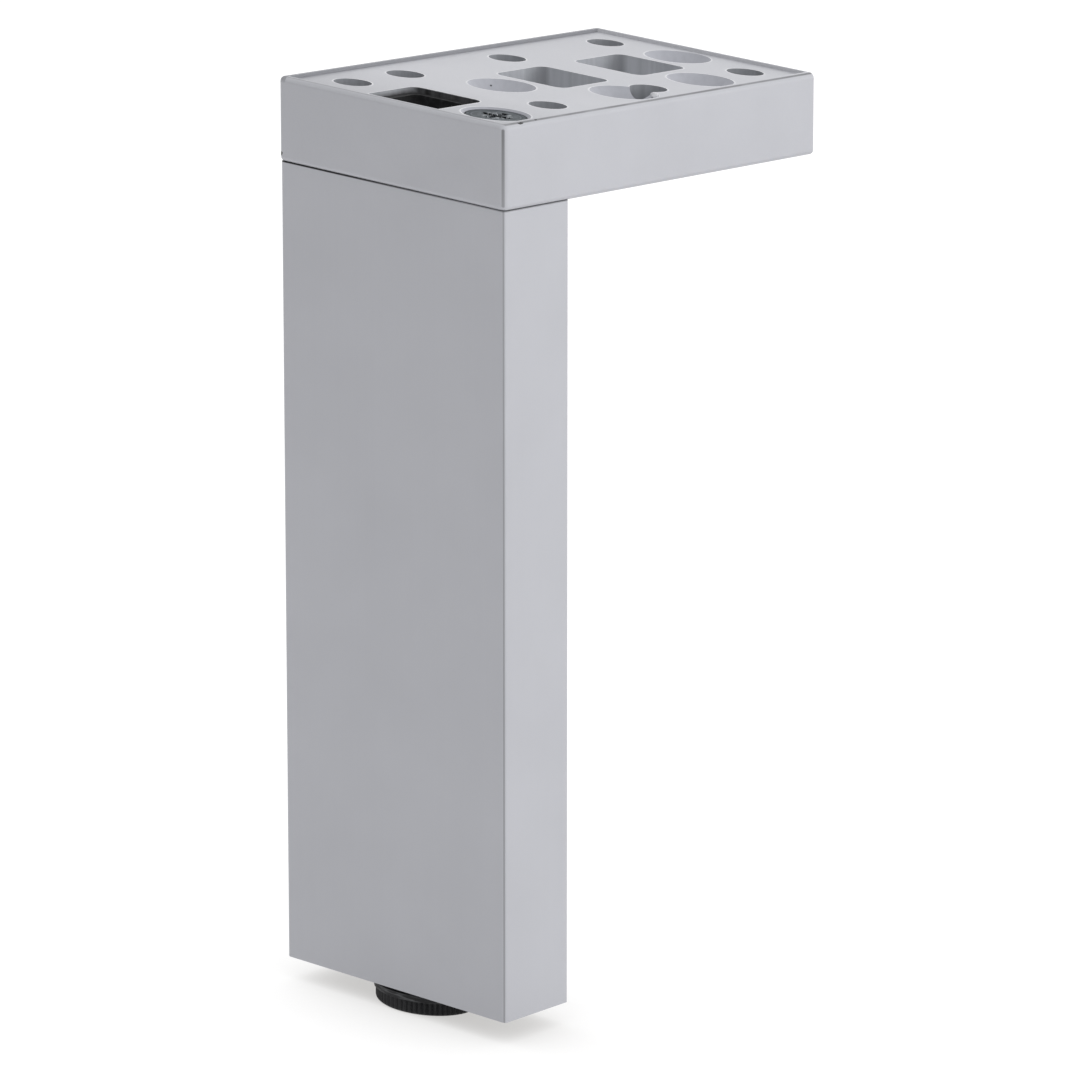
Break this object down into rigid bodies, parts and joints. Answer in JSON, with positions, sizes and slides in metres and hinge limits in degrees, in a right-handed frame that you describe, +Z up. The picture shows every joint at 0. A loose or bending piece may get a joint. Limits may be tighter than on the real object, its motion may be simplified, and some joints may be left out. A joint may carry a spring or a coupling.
{
  "type": "adjustable cabinet leg",
  "caption": "Flat rectangular-tube cabinet leg with an offset mounting plate on its top end and a knurled screw foot below that sets its height.",
  "frame": {"origin": "on the tube's axis, on the floor under the foot, with the foot screwed in", "axes": "+Z up towards the cabinet, +X along the mounting plate to its free end, +Y across the tube's wide side"},
  "size_m": [0.1006, 0.0506, 0.1716],
  "materials": {
    "plate_paint": "satin silver-grey paint on moulded plastic",
    "tube_paint": "satin silver-grey paint",
    "black_plastic": "moulded black",
    "foot_plastic": "moulded black, knurled",
    "zinc_steel": "bright zinc plate"
  },
  "bodies": {
    "leg": {"mounting_plate": "plate_paint", "leg_tube": "tube_paint", "top_insert": "black_plastic", "fixing_nut": "zinc_steel", "fixing_screw": "zinc_steel", "bottom_insert": "black_plastic", "foot_nut": "zinc_steel"},
    "foot_stud": {"foot_stud": "zinc_steel"},
    "foot_disc": {"foot_disc": "foot_plastic"}
  },
  "joints": [
    {"name": "foot_travel", "type": "slide", "parent": "leg", "child": "foot_stud", "axis": [0, 0, -1], "range_m": [0, 0.015]},
    {"name": "foot_turn", "type": "hinge", "parent": "foot_stud", "child": "foot_disc", "pos_m": [0, 0, 0.004], "axis": [0, 0, -1], "range_deg": [-45, 4365]}
  ],
  "couplings": [
    {"joint": "foot_turn", "follows": "foot_travel", "rad_per_m": 5026.5}
  ]
}
